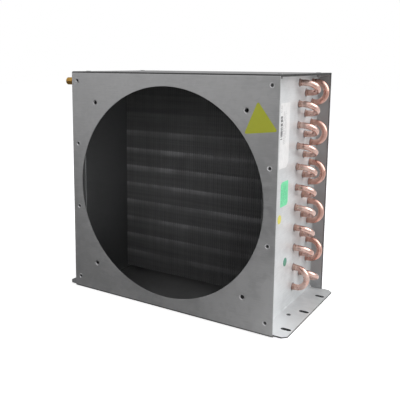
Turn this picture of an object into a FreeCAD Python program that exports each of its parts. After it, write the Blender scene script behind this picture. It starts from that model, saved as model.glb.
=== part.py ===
"""Air-cooled refrigeration condenser: a finned copper coil in a galvanised sheet casing.

X runs across the fan panel, +Y from the panel back through the coil, +Z up. The origin is the
middle of the flat base, on its underside. Sizes are in millimetres.
"""
import FreeCAD, Part
import Sketcher
import math
import os

from FreeCAD import Placement, Rotation, Vector

doc = FreeCAD.newDocument("condenser")

SIZES = {
    # Casing, folded from one galvanised sheet
    "casing_width": 282.0,
    "casing_height": 284.0,
    "casing_depth": 164.0,
    "casing_sheet": 1.2,
    "casing_bend": 1.2,
    "opening_edge": 14.5,
    "guard_hole_radius": 2.1,
    "guard_hole_gap": 20.154,
    # Rivets that join the casing to the tube sheets
    "rivet_inset": 9.0,
    "rivet_radius": 1.95,
    "rivet_head_radius": 3.1,
    "rivet_head": 0.9,
    "rivet_tail": 2.4,
    "rivet_clearance": 0.05,
    "rivet_sides": 8,
    "roof_rivet_edge": 22.0,
    # Tube sheets with their flanges and feet
    "side_recess": 16.5,
    "end_sheet": 1.5,
    "end_sheet_bend": 1.5,
    "corner_relief": 2.0,
    "flange_setback": 0.8,
    "foot_reach": 31.2,
    "foot_chamfer": 5.6,
    "base_rivet_radius": 1.6,
    "base_rivet_head_radius": 2.6,
    "base_rivet_head": 0.7,
    "base_rivet_reach": 10.7,
    "base_rivet_back": 62.0,
    "slot_radius": 2.75,
    "slot_length": 12.0,
    "slot_reach": 22.7,
    "slot_from_front": 23.5,
    "slot_from_back": 27.5,
    # Tubes
    "tube_diameter": 7.94,
    "tube_pitch": 25.0,
    "tube_clearance": 0.05,
    "row_pitch": 22.0,
    "top_tube_depth": 11.0,
    "lowest_tube_height": 23.0,
    "rear_row_depth": 20.5,
    "socket_reach": 1.5,
    "bend_leg": 3.5,
    "tube_sides": 10,
    "bend_steps": 6,
    # Fins
    "fin_thickness": 0.2,
    "fin_pitch": 3.0,
    "fin_edge": 11.0,
    "fin_side_gap": 1.4,
    "fin_floor_gap": 5.3,
    "fin_roof_gap": 1.3,
    # Inlet and outlet tubes, which end on the left
    "stub_reach": 12.5,
    "stub_bend": 9.0,
    "outlet_from_front": 20.0,
    "outlet_drop": 2.0,
    "outlet_reach": 15.5,
    "inlet_reach": 26.0,
    # Brass unions with screw caps, hexagonal outside
    "union_radius": 5.4,
    "union_socket": 5.0,
    "union_length": 8.0,
    "union_bore": 2.2,
    "thread_radius": 3.6,
    "thread_length": 6.0,
    "thread_clearance": 0.1,
    "cap_radius": 5.4,
    "cap_length": 10.5,
    "cap_chamfer": 1.3,
    "brass_sides": 12,
    "cap_gap": 0.1,
    "seal_thickness": 1.0,
    "seal_radius": 3.5,
    # Blank labels
    "label_thickness": 0.15,
    "white_label_width": 28.0,
    "white_label_height": 74.0,
    "white_label_back": 57.0,
    "white_label_depth": 69.5,
    "green_label_width": 22.0,
    "green_label_height": 29.0,
    "green_label_back": 62.0,
    "green_label_gap": 16.2,
    "dot_radius": 5.2,
    "dot_sides": 20,
    "yellow_dot_back": 50.0,
    "yellow_dot_gap": 8.4,
    "green_dot_back": 71.5,
    "green_dot_gap": 45.9,
    "sticker_side": 38.6,
    "sticker_corner": 2.5,
    "sticker_from_side": 21.5,
    "sticker_depth": 50.1,
    "sticker_tilt": 6.9,
    # Rivets up the edges of the fan panel, unevenly spaced: two from the floor, two from the roof
    "left_rivet_height_one": 15.1,
    "left_rivet_height_two": 110.3,
    "left_rivet_depth_two": 91.6,
    "left_rivet_depth_one": 11.5,
    "right_rivet_height_one": 15.0,
    "right_rivet_height_two": 101.5,
    "right_rivet_depth_two": 98.1,
    "right_rivet_depth_one": 11.3,
}


class Size:
    """A number that remembers the sheet formula it comes from, so that it can be bound."""

    def __init__(self, value, text):
        self.value = float(value)
        self.text = text

    def __float__(self):
        return self.value

    def __add__(self, other):
        other = as_size(other)
        return Size(self.value + other.value, "(%s + %s)" % (self.text, other.text))

    def __sub__(self, other):
        other = as_size(other)
        return Size(self.value - other.value, "(%s - %s)" % (self.text, other.text))

    def __mul__(self, other):
        other = as_size(other)
        return Size(self.value * other.value, "(%s * %s)" % (self.text, other.text))

    def __truediv__(self, other):
        other = as_size(other)
        return Size(self.value / other.value, "(%s / %s)" % (self.text, other.text))

    def __radd__(self, other):
        return as_size(other) + self

    def __rsub__(self, other):
        return as_size(other) - self

    def __rmul__(self, other):
        return as_size(other) * self

    def __neg__(self):
        return as_size(0) - self


def as_size(number):
    return number if isinstance(number, Size) else Size(number, repr(number))


def bind(thing, name, size):
    """Ties a property or a sketch constraint to the sheet."""
    thing.setExpression(name, as_size(size).text)


sheet = doc.addObject("Spreadsheet::Sheet", "Sizes")
s = {}
for row, (alias, value) in enumerate(SIZES.items(), 1):
    sheet.set("A%d" % row, alias)
    sheet.set("B%d" % row, str(value))
    sheet.setAlias("B%d" % row, alias)
    s[alias] = Size(value, "Sizes.%s" % alias)
doc.recompute()

# Planes and places that several pieces share
half_width = s["casing_width"] / 2
front = -s["casing_depth"] / 2
back = s["casing_depth"] / 2
panel_back = front + s["casing_sheet"]
web_out = half_width - s["side_recess"]
web_in = web_out - s["end_sheet"]
floor_top = s["casing_sheet"]
roof_under = s["casing_height"] - s["casing_sheet"]
foot_out = web_out + s["foot_reach"]
opening_radius = (half_width if float(half_width) < SIZES["casing_height"] / 2
                  else s["casing_height"] / 2) - s["opening_edge"]
opening_height = s["casing_height"] / 2
slot_spacing = (s["casing_depth"] - s["slot_from_front"] - s["slot_from_back"]) / 2


def whole(ratio):
    """The whole copies that fit, where a ratio a hair under a whole number counts as it."""
    return int(round(float(ratio), 6))


# The coil's circuit needs an odd number of tubes in the front and rear rows
tube_radius = s["tube_diameter"] / 2
tube_rows = [back - s["rear_row_depth"] - (2 - n) * s["row_pitch"] for n in range(3)]
tube_span = s["casing_height"] - s["top_tube_depth"] - s["lowest_tube_height"]
tube_count = 2 * whole(tube_span / (2 * SIZES["tube_pitch"])) + 1
tube_heights = [s["casing_height"] - s["top_tube_depth"] - (tube_count - 1 - n) * s["tube_pitch"]
                for n in range(tube_count)]
fin_span = 2 * (web_in - s["fin_side_gap"]) - s["fin_thickness"]
fin_count = whole(fin_span / SIZES["fin_pitch"]) + 1
right_end = web_out + s["socket_reach"]
rivet_line = half_width - s["rivet_inset"]
rivet_grip = s["casing_sheet"] + s["end_sheet"]
panel_rivets = {
    side: [s[name + "_rivet_height_one"], s[name + "_rivet_height_two"],
           s["casing_height"] - s[name + "_rivet_depth_two"],
           s["casing_height"] - s[name + "_rivet_depth_one"]]
    for side, name in ((-1, "left"), (1, "right"))
}


def body(label):
    made = doc.addObject("PartDesign::Body", label)
    made.Label = label
    made.AllowCompound = True
    return made


def sketch(owner, name, plane, offset=None):
    """A sketch on one of the body's own origin planes, moved by offset along its normal."""
    made = owner.newObject("Sketcher::SketchObject", "%s_%s" % (owner.Label, name))
    origin = [f for f in owner.Origin.OriginFeatures if f.Role == plane][0]
    made.AttachmentSupport = [(origin, "")]
    made.MapMode = "FlatFace"
    if offset is not None:
        bind(made, "AttachmentOffset.Base.z", offset)
    return made


def feature(owner, kind, name, profile, length, reverse=False, middle=False):
    """A pad or pocket of a sketch, to a bound length."""
    made = owner.newObject("PartDesign::%s" % kind, "%s_%s" % (owner.Label, name))
    made.Profile = profile
    made.Reversed = reverse
    made.Midplane = middle
    bind(made, "Length", length)
    profile.Visibility = False
    doc.recompute()
    return made


def cut_sheet(owner, name, profile, thickness):
    """Cuts a sketch through the one sheet that it lies on, from both sides."""
    before = owner.Shape.Volume
    made = feature(owner, "Pocket", name, profile, 4 * thickness, middle=True)
    if owner.Shape.Volume >= before:
        raise RuntimeError("%s cuts nothing" % made.Label)
    return made


def repeat(owner, name, original, direction, pitch, count):
    """A straight row of so many copies of a feature, at a bound pitch."""
    made = owner.newObject("PartDesign::LinearPattern", "%s_%s" % (owner.Label, name))
    made.Originals = [original]
    made.Direction = direction
    made.Occurrences = count
    bind(made, "Length", (count - 1) * pitch)
    owner.Tip = made
    doc.recompute()
    return made


def place(target, geometry, point, across, up):
    """Fixes a point of a sketch by its two distances from the sketch's origin."""
    for axis, distance in (("DistanceX", across), ("DistanceY", up)):
        number = target.addConstraint(
            Sketcher.Constraint(axis, -1, 1, geometry, point, float(distance)))
        bind(target, "Constraints[%d]" % number, distance)


def rectangle(target, left, low, right, high):
    """A rectangle whose lower left and upper right corners are placed."""
    x0, y0, x1, y1 = (float(v) for v in (left, low, right, high))
    corners = [Vector(x0, y0), Vector(x1, y0), Vector(x1, y1), Vector(x0, y1)]
    for n in range(4):
        target.addGeometry(Part.LineSegment(corners[n], corners[(n + 1) % 4]))
    for n in range(4):
        target.addConstraint(Sketcher.Constraint("Coincident", n, 2, (n + 1) % 4, 1))
        target.addConstraint(Sketcher.Constraint("Vertical" if n % 2 else "Horizontal", n))
    place(target, 0, 1, left, low)
    place(target, 1, 2, right, high)


def circle(target, across, up, radius):
    middle = Vector(float(across), float(up))
    number = target.addGeometry(Part.Circle(middle, Vector(0, 0, 1), float(radius)))
    place(target, number, 3, across, up)
    fixed = target.addConstraint(Sketcher.Constraint("Radius", number, float(radius)))
    bind(target, "Constraints[%d]" % fixed, radius)


def outline(target, items):
    """A closed outline through points. Three points in a tuple are an arc."""
    ends = [(i[0], i[2]) if isinstance(i, tuple) else (i, i) for i in items]
    for n, item in enumerate(items):
        if isinstance(item, tuple):
            target.addGeometry(Part.Arc(*item))
        start, following = ends[n][1], ends[(n + 1) % len(ends)][0]
        if (following - start).Length > 1e-6:
            target.addGeometry(Part.LineSegment(start, following))


def polygon(target, across, up, radius, sides):
    """A small round outline, as a polygon with its corners on the circle."""
    turn = 2 * math.pi / sides
    middle = Vector(float(across), float(up))
    outline(target, [
        middle + float(radius) * Vector(math.cos(n * turn), math.sin(n * turn))
        for n in range(sides)
    ])


def clear_hole(target, across, up, radius, clearance, sides):
    """The polygonal hole for such a shank. Its flats touch the circle, so it fits at any turn."""
    polygon(target, across, up, float(radius + clearance) / math.cos(math.pi / sides), sides)


def rivet_hole(target, across, up, kind="rivet"):
    clear_hole(target, across, up, s[kind + "_radius"], s["rivet_clearance"],
               SIZES["rivet_sides"])


def tube_hole(target, across, up):
    clear_hole(target, across, up, tube_radius, s["tube_clearance"], SIZES["tube_sides"])


def slot(target, across, up, length, radius):
    """A hole with round ends that runs along the sketch's first axis."""
    middle, r = Vector(float(across), float(up)), float(radius)
    half = float(length) / 2 - r
    right, left = middle + Vector(half, 0), middle - Vector(half, 0)
    outline(target, [
        (right - Vector(0, r), right + Vector(r, 0), right + Vector(0, r)),
        (left + Vector(0, r), left - Vector(r, 0), left - Vector(0, r)),
    ])


def folded_strip(target, points, thickness, inside):
    """The section of a folded sheet. The points run along its outer side, the sheet lies to their
    left and folds to the left, and inside is the radius within each fold."""
    thickness, inside = float(thickness), float(inside)
    line = [Vector(float(a), float(b)) for a, b in points]
    heading = [(line[n + 1] - line[n]).normalize() for n in range(len(line) - 1)]
    left = [Vector(-h.y, h.x) for h in heading]
    outer, inner = [line[0]], [line[0] + left[0] * thickness]
    for n in range(1, len(line) - 1):
        before, after = left[n - 1], left[n]
        middle = line[n] + (before + after) * (thickness + inside)
        corner = (before + after).normalize()
        for side, r in ((outer, thickness + inside), (inner, inside)):
            side.append((middle - before * r, middle - corner * r, middle - after * r))
    outer.append(line[-1])
    inner.append(line[-1] + left[-1] * thickness)
    turned = [tuple(reversed(i)) if isinstance(i, tuple) else i for i in reversed(inner)]
    outline(target, outer + turned)


def roof_rivet_places(side):
    return [(side * rivet_line, front + s["roof_rivet_edge"]),
            (side * rivet_line, back - s["roof_rivet_edge"])]


def base_rivet_place(side):
    return side * (web_out + s["base_rivet_reach"]), front + s["base_rivet_back"]


def fan_shroud():
    """Fan panel, roof and floor, folded from one sheet, with the round fan opening."""
    made = body("fan_shroud")
    section = sketch(made, "section", "YZ_Plane")
    height = s["casing_height"]
    folded_strip(section, [(back, height), (front, height), (front, 0), (back, 0)],
                 s["casing_sheet"], s["casing_bend"])
    feature(made, "Pad", "sheet", section, s["casing_width"], middle=True)

    panel = sketch(made, "panel_holes", "XZ_Plane", -front)
    circle(panel, 0, opening_height, opening_radius)
    reach = (opening_radius + s["guard_hole_gap"]) / math.sqrt(2)
    for across in (-reach, reach):
        for up in (opening_height - reach, opening_height + reach):
            circle(panel, across, up, s["guard_hole_radius"])
    for side, heights in panel_rivets.items():
        for up in heights:
            rivet_hole(panel, side * rivet_line, up)
    cut_sheet(made, "panel_cut", panel, s["casing_sheet"])

    roof = sketch(made, "roof_holes", "XY_Plane", height)
    floor = sketch(made, "floor_holes", "XY_Plane")
    for side in (-1, 1):
        for across, along in roof_rivet_places(side):
            rivet_hole(roof, across, along)
        across, along = base_rivet_place(side)
        rivet_hole(floor, across, along, "base_rivet")
    cut_sheet(made, "roof_cut", roof, s["casing_sheet"])
    cut_sheet(made, "floor_cut", floor, s["casing_sheet"])


def end_sheet(label, side):
    """A tube sheet: the web that the tubes pass through, flanges folded outwards, and a foot."""
    made = body(label)
    thickness, relief = s["end_sheet"], s["corner_relief"]

    def mirrored(points):
        return points if side > 0 else [(-a, b) for a, b in reversed(points)]

    upright = sketch(made, "upright_section", "XY_Plane", floor_top + relief)
    folded_strip(upright, mirrored([
        (half_width, back), (web_in, back),
        (web_in, panel_back), (half_width - s["flange_setback"], panel_back),
    ]), thickness, s["end_sheet_bend"])
    feature(made, "Pad", "upright", upright, roof_under - floor_top - 2 * relief)

    level = sketch(made, "level_section", "XZ_Plane", relief - back)
    folded_strip(level, mirrored([
        (half_width - s["flange_setback"], roof_under), (web_in, roof_under),
        (web_in, floor_top), (half_width, floor_top),
    ]), thickness, s["end_sheet_bend"])
    feature(made, "Pad", "level", level, back - panel_back - 2 * relief)

    foot = sketch(made, "foot_outline", "XY_Plane", floor_top)
    inner, outer = web_out + s["end_sheet_bend"], foot_out
    near, chamfer = panel_back + s["casing_bend"], s["foot_chamfer"]
    outline(foot, [Vector(float(a), float(b)) for a, b in mirrored([
        (inner, near), (outer - chamfer, near), (outer, near + chamfer),
        (outer, back - chamfer), (outer - chamfer, back), (inner, back),
    ])])
    feature(made, "Pad", "foot", foot, thickness)

    foot_holes = sketch(made, "foot_holes", "XY_Plane", floor_top)
    for n in range(3):
        slot(foot_holes, side * (web_out + s["slot_reach"]),
             front + s["slot_from_front"] + n * slot_spacing, s["slot_length"], s["slot_radius"])
    across, along = base_rivet_place(side)
    rivet_hole(foot_holes, across, along, "base_rivet")
    cut_sheet(made, "foot_cut", foot_holes, thickness)

    flange = sketch(made, "flange_holes", "XZ_Plane", -panel_back)
    for up in panel_rivets[side]:
        rivet_hole(flange, side * rivet_line, up)
    cut_sheet(made, "flange_cut", flange, thickness)
    top = sketch(made, "top_holes", "XY_Plane", roof_under)
    for across, along in roof_rivet_places(side):
        rivet_hole(top, across, along)
    cut_sheet(made, "top_cut", top, thickness)

    outer_rows = sketch(made, "outer_rows", "YZ_Plane", side * web_out)
    for across in (tube_rows[0], tube_rows[2]):
        tube_hole(outer_rows, across, tube_heights[0])
    hole = cut_sheet(made, "outer_holes", outer_rows, thickness)
    repeat(made, "outer_pattern", hole, (outer_rows, ["V_Axis"]), s["tube_pitch"], tube_count)
    middle_row = sketch(made, "middle_row", "YZ_Plane", side * web_out)
    tube_hole(middle_row, tube_rows[1], tube_heights[0] + s["tube_pitch"] / 2)
    hole = cut_sheet(made, "middle_holes", middle_row, thickness)
    repeat(made, "middle_pattern", hole, (middle_row, ["V_Axis"]), s["tube_pitch"],
           tube_count - 1)


def fin_pack():
    """Upright aluminium fins, close together, across the whole coil."""
    made = body("fin_pack")
    first = -(fin_count - 1) * s["fin_pitch"] / 2 - s["fin_thickness"] / 2
    plate = sketch(made, "plate", "YZ_Plane", first)
    rectangle(plate, tube_rows[0] - s["fin_edge"], floor_top + s["fin_floor_gap"],
              tube_rows[2] + s["fin_edge"], roof_under - s["fin_roof_gap"])
    fin = feature(made, "Pad", "fin", plate, s["fin_thickness"])
    repeat(made, "fins", fin, (plate, ["N_Axis"]), s["fin_pitch"], fin_count)


def tube(name, points):
    """A tube along straight runs, with the bends as short mitred steps to keep its faces few."""
    path = doc.addObject("Part::Polygon", name + "_path")
    path.Nodes = points
    ring = doc.addObject("Part::RegularPolygon", name + "_ring")
    ring.Polygon = SIZES["tube_sides"]
    bind(ring, "Circumradius", tube_radius)
    ring.Placement = Placement(points[0], Rotation(Vector(0, 0, 1), points[1] - points[0]))
    made = doc.addObject("Part::Sweep", name)
    made.Sections = [ring]
    made.Spine = (path, [])
    made.Solid = True
    made.Frenet = False
    made.Transition = "Right corner"
    return made


def group(label, members):
    made = doc.addObject("Part::Compound", label)
    made.Label = label
    made.Links = members
    return made


def tube_place(row, number):
    """Centre of a tube in the plane of a tube sheet. Numbers count down from the top tube."""
    lift = s["tube_pitch"] / 2 if row == 1 else 0
    height = tube_heights[tube_count - number] + lift - (s["tube_pitch"] if row == 1 else 0)
    return Vector(0, float(tube_rows[row]), float(height))


def half_turn(one, other, start, side):
    """Points of a bend from one tube to another, with a straight leg at each end."""
    out = Vector(side, 0, 0)
    middle, arm = (one + other) / 2, (one - other) / 2
    reach = float(start) + float(s["bend_leg"])
    steps = SIZES["bend_steps"]
    points = []
    for n in range(steps + 1):
        angle = math.pi * n / steps
        points.append(middle + arm * math.cos(angle)
                      + out * (reach + arm.Length * math.sin(angle)))
    return points


def return_bend(name, one, other):
    """A bend brazed into two tube ends, outside the right tube sheet."""
    ends = [p + Vector(float(right_end), 0, 0) for p in (one, other)]
    return tube(name, [ends[0]] + half_turn(one, other, right_end, 1) + [ends[1]])


def hairpin(name, one, other):
    """A long tube bent back on itself outside the left tube sheet, open at the right."""
    ends = [p + Vector(float(right_end), 0, 0) for p in (one, other)]
    return tube(name, [ends[0]] + half_turn(one, other, web_out, -1) + [ends[1]])


def coil_tubes():
    """One circuit: down between the front and middle rows, across at the bottom, up the rear."""
    last = tube_count
    group("front_hairpins", [
        hairpin("front_hairpin_%d" % n, tube_place(0, n + 1), tube_place(1, n))
        for n in range(1, last)])
    group("rear_hairpins", [
        hairpin("rear_hairpin_%d" % n, tube_place(2, n), tube_place(2, n + 1))
        for n in range(2, last, 2)])
    group("front_bends", [
        return_bend("front_bend_%d" % n, tube_place(0, n), tube_place(1, n))
        for n in range(1, last - 1)])
    group("rear_bends", [
        return_bend("rear_bend_%d" % n, tube_place(2, n), tube_place(2, n + 1))
        for n in range(1, last - 1, 2)])
    group("lowest_front_bend", [
        return_bend("lowest_bend", tube_place(0, last - 1), tube_place(0, last))])
    group("crossover_bend", [
        return_bend("crossover", tube_place(1, last - 1), tube_place(2, last))])


def rounded(corners, radius, steps):
    """Straight runs through the corners, each corner cut by an arc of short steps."""
    points = [corners[0]]
    for n in range(1, len(corners) - 1):
        before = (corners[n - 1] - corners[n]).normalize()
        after = (corners[n + 1] - corners[n]).normalize()
        half = before.getAngle(after) / 2
        inward = (before + after).normalize()
        middle = corners[n] + inward * (radius / math.sin(half))
        start = corners[n] + before * (radius / math.tan(half)) - middle
        axis = start.cross(corners[n] + after * (radius / math.tan(half)) - middle).normalize()
        sweep = math.degrees(math.pi - 2 * half)
        for k in range(steps + 1):
            points.append(middle + Rotation(axis, sweep * k / steps).multVec(start))
    return points + [corners[-1]]


def end_tubes():
    """The two open ends of the circuit. The outlet runs forward beside the left tube sheet."""
    start = Vector(float(right_end), 0, 0)
    inlet = tube_place(2, 1)
    inlet_end = inlet - Vector(float(web_out + s["inlet_reach"]), 0, 0)
    group("inlet_tube", [tube("inlet_run", [inlet + start, inlet_end])])
    outlet = tube_place(0, 1)
    turn = outlet - Vector(float(web_out + s["stub_reach"]), 0, 0)
    forward = tube_rows[0] - front - s["outlet_from_front"]
    ahead = turn - Vector(0, float(forward), SIZES["outlet_drop"])
    outlet_end = ahead - Vector(SIZES["outlet_reach"], 0, 0)
    points = rounded([outlet + start, turn, ahead, outlet_end], SIZES["stub_bend"],
                     SIZES["bend_steps"] // 2)
    group("outlet_tube", [tube("outlet_run", points)])
    return {"inlet": inlet_end, "outlet": outlet_end}


def bore(owner, name, radius, clearance, depth):
    """A hole down a piece's own axis, from its open end."""
    mouth = sketch(owner, name, "XY_Plane")
    clear_hole(mouth, 0, 0, radius, clearance, SIZES["brass_sides"])
    before = owner.Shape.Volume
    feature(owner, "Pocket", name + "_cut", mouth, depth, reverse=True)
    if owner.Shape.Volume >= before:
        raise RuntimeError("%s of %s cuts nothing" % (name, owner.Label))


def on_tube(made, end, start):
    """Turns a piece that was made along +Z to face -X, from start past a tube's end."""
    turn = Rotation(Vector(0, 0, 1), Vector(-1, 0, 0))
    made.Placement = Placement(end - Vector(float(start), 0, 0), turn)


def union_and_cap(name, end):
    """A brass union over a tube's end, with a seal and a screw cap on its thread."""
    start, length = -s["union_socket"], s["union_length"]
    tip, sides = length + s["thread_length"], SIZES["brass_sides"]
    union = body(name + "_union")
    hexagon = sketch(union, "hexagon", "XY_Plane")
    polygon(hexagon, 0, 0, s["union_radius"], 6)
    feature(union, "Pad", "grip", hexagon, length)
    thread = sketch(union, "thread_section", "XY_Plane", length)
    polygon(thread, 0, 0, s["thread_radius"], sides)
    feature(union, "Pad", "thread", thread, s["thread_length"])
    bore(union, "socket", tube_radius, s["tube_clearance"], s["union_socket"])
    bore(union, "way", s["union_bore"], 0, tip)
    on_tube(union, end, start)

    gap, washer = s["cap_gap"], s["seal_thickness"]
    seal = body(name + "_seal")
    disc = sketch(seal, "disc_section", "XY_Plane")
    polygon(disc, 0, 0, s["seal_radius"], sides)
    feature(seal, "Pad", "disc", disc, washer)
    on_tube(seal, end, start + tip + gap)

    cap = body(name + "_cap")
    hexagon = sketch(cap, "hexagon", "XY_Plane")
    polygon(hexagon, 0, 0, s["cap_radius"], 6)
    grip = feature(cap, "Pad", "grip", hexagon, s["cap_length"])
    faces = grip.Shape.Faces
    end_face = max(range(len(faces)), key=lambda n: faces[n].CenterOfMass.z)
    edge = cap.newObject("PartDesign::Chamfer", name + "_cap_edge")
    edge.Base = (grip, ["Face%d" % (end_face + 1)])
    bind(edge, "Size", s["cap_chamfer"])
    doc.recompute()
    bore(cap, "hollow", s["thread_radius"], s["thread_clearance"],
         s["thread_length"] + 2 * gap + washer)
    on_tube(cap, end, start + length + gap)


def rivets(label, plane, face, places, kind, length):
    """Rivets through the casing and a tube sheet, with their heads on one face, in one group."""
    made = body(label)
    heads = sketch(made, "heads", plane, face)
    shanks = sketch(made, "shanks", plane, face)
    for across, up in places:
        polygon(heads, across, up, s[kind + "_head_radius"], SIZES["rivet_sides"])
        polygon(shanks, across, up, s[kind + "_radius"], SIZES["rivet_sides"])
    feature(made, "Pad", "head", heads, s[kind + "_head"])
    feature(made, "Pad", "shank", shanks, length, reverse=True)


def flat_label(label, width, height, back_place, middle):
    """A thin blank label on the outer face of the right tube sheet."""
    made = doc.addObject("Part::Box", label)
    made.Label = label
    bind(made, "Length", s["label_thickness"])
    bind(made, "Width", width)
    bind(made, "Height", height)
    bind(made, "Placement.Base.x", web_out)
    bind(made, "Placement.Base.y", front + back_place - width / 2)
    bind(made, "Placement.Base.z", middle - height / 2)


def round_label(label, back_place, height):
    made = body(label)
    disc = sketch(made, "outline", "YZ_Plane", web_out)
    polygon(disc, front + back_place, height, s["dot_radius"], SIZES["dot_sides"])
    feature(made, "Pad", "film", disc, s["label_thickness"])


def panel_sticker():
    """A plain triangular sticker with blunt corners near the panel's upper right corner."""
    made = body("triangle_sticker")
    flat = sketch(made, "outline", "XZ_Plane", -front)
    middle = Vector(float(half_width - s["sticker_from_side"]),
                    float(s["casing_height"] - s["sticker_depth"]))
    reach = SIZES["sticker_side"] / math.sqrt(3)
    tips = [middle + reach * Vector(math.cos(angle), math.sin(angle))
            for angle in (math.radians(90 + 120 * n + SIZES["sticker_tilt"]) for n in range(3))]
    points = []
    for n in range(3):
        for other in (tips[n - 1], tips[(n + 1) % 3]):
            points.append(tips[n] + (other - tips[n]).normalize() * SIZES["sticker_corner"])
    outline(flat, points)
    feature(made, "Pad", "film", flat, s["label_thickness"])


fan_shroud()
end_sheet("left_tube_sheet", -1)
end_sheet("right_tube_sheet", 1)
fin_pack()
coil_tubes()
for name, end in end_tubes().items():
    union_and_cap(name, end)
for side, name in ((-1, "left"), (1, "right")):
    rivets("%s_panel_rivets" % name, "XZ_Plane", -front,
           [(side * rivet_line, up) for up in panel_rivets[side]],
           "rivet", rivet_grip + s["rivet_tail"])
    rivets("%s_roof_rivets" % name, "XY_Plane", s["casing_height"], roof_rivet_places(side),
           "rivet", rivet_grip + s["rivet_tail"])
rivets("base_rivets", "XY_Plane", rivet_grip, [base_rivet_place(side) for side in (-1, 1)],
       "base_rivet", rivet_grip)
# Each label hangs at a gap below the one above it
white_middle = s["casing_height"] - s["white_label_depth"]
flat_label("white_label", s["white_label_width"], s["white_label_height"],
           s["white_label_back"], white_middle)
green_top = white_middle - s["white_label_height"] / 2 - s["green_label_gap"]
flat_label("green_label", s["green_label_width"], s["green_label_height"],
           s["green_label_back"], green_top - s["green_label_height"] / 2)
yellow_top = green_top - s["green_label_height"] - s["yellow_dot_gap"]
round_label("yellow_dot", s["yellow_dot_back"], yellow_top - s["dot_radius"])
green_dot_top = yellow_top - s["dot_radius"] * 2 - s["green_dot_gap"]
round_label("green_dot", s["green_dot_back"], green_dot_top - s["dot_radius"])
panel_sticker()

doc.recompute()
for thing in doc.Objects:
    if "Invalid" in thing.State or "Error" in thing.State:
        raise RuntimeError("%s failed: %s" % (thing.Label, thing.State))

NODES = [thing for thing in doc.Objects
         if thing.TypeId in ("PartDesign::Body", "Part::Compound", "Part::Box")]
for node in NODES:
    if node.Shape.isNull() or not node.Shape.isValid() or node.Shape.Volume <= 0:
        raise RuntimeError("%s has no valid shape" % node.Label)
os.makedirs("parts", exist_ok=True)
for node in NODES:
    node.Shape.exportStep("parts/%s.step" % node.Label)
    box = node.Shape.BoundBox
    print("%-20s solids %3d  volume %10.1f  x %7.2f %7.2f  y %7.2f %7.2f  z %7.2f %7.2f" % (
        node.Label, len(node.Shape.Solids), node.Shape.Volume,
        box.XMin, box.XMax, box.YMin, box.YMax, box.ZMin, box.ZMax))
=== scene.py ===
"""The refrigeration condenser, dressed: galvanised casing, copper coil, foil fins, brass ends.

X runs across the fan panel, +Y from the panel back through the coil, +Z up. Lengths are in metres,
and MM is a millimetre.
"""

import bmesh
import bpy
import numpy as np
from mathutils import Matrix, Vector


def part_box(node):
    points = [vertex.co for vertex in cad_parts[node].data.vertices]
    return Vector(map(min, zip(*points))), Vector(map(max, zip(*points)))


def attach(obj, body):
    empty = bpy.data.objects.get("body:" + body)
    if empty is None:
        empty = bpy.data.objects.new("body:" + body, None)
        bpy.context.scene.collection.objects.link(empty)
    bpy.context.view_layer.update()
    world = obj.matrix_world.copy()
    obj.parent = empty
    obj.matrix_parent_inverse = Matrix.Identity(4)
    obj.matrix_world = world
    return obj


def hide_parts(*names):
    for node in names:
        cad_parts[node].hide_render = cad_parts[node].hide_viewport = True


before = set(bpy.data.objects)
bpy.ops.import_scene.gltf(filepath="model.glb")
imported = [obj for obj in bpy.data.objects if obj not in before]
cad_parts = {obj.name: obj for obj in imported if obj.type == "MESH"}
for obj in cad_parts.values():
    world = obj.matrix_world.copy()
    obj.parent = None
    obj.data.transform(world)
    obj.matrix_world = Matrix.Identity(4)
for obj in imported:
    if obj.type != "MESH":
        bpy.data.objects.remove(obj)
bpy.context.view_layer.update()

MM = 0.001
ROOT = "casing_and_coil"
X, Y, Z = range(3)
X_AXIS, Y_AXIS, Z_AXIS = np.eye(3)


def middle(node):
    """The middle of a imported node's box."""
    return np.mean(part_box(node), axis=0)


def right_end(node):
    """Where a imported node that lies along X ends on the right, on its axis."""
    return np.array([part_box(node)[1][X], *middle(node)[1:]])


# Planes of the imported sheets
END_SHEET = 1.5 * MM
casing_low, casing_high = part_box("fan_shroud")
end_low, end_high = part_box("right_tube_sheet")
FRONT, BACK = casing_low[Y], casing_high[Y]
HALF_WIDTH, HEIGHT = casing_high[X], casing_high[Z]
PANEL_BACK, WEB_OUT, FOOT_OUT = end_low[Y], end_low[X] + END_SHEET, end_high[X]
FLOOR_TOP, FOOT_TOP = end_low[Z], end_low[Z] + END_SHEET
UNDER_ROOF = end_high[Z] - 0.05 * MM

# Packed tubes, in rows from front to rear
front_row, rear_row = middle("lowest_front_bend")[Y], middle("inlet_tube")[Y]
ROW_Y = (front_row, (front_row + rear_row) / 2, rear_row)
TOP_TUBE, TUBE_PITCH, TUBE_COUNT = middle("inlet_tube")[Z], 25 * MM, 11
TUBE_RADIUS = 3.97 * MM
TUBE_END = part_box("lowest_front_bend")[0][X]
BEND_LEG = 3.5 * MM

# Packed fins
fins_low, fins_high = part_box("fin_pack")
FIN_PITCH, FIN_COUNT, FIN_HALF = 3 * MM, 82, 0.1 * MM
FIN_PLACES = (np.arange(FIN_COUNT) - (FIN_COUNT - 1) / 2) * FIN_PITCH


# Surfaces

def grid_quads(rows, columns, wrap=True):
    """Quads of a grid of points, row by row. With wrap the last column meets the first."""
    row = np.arange(rows - 1)[:, None]
    column = np.arange(columns if wrap else columns - 1)[None, :]
    here, beside = row * columns + column, row * columns + (column + 1) % columns
    return np.stack([here, beside, beside + columns, here + columns], -1).reshape(-1, 4)


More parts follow.
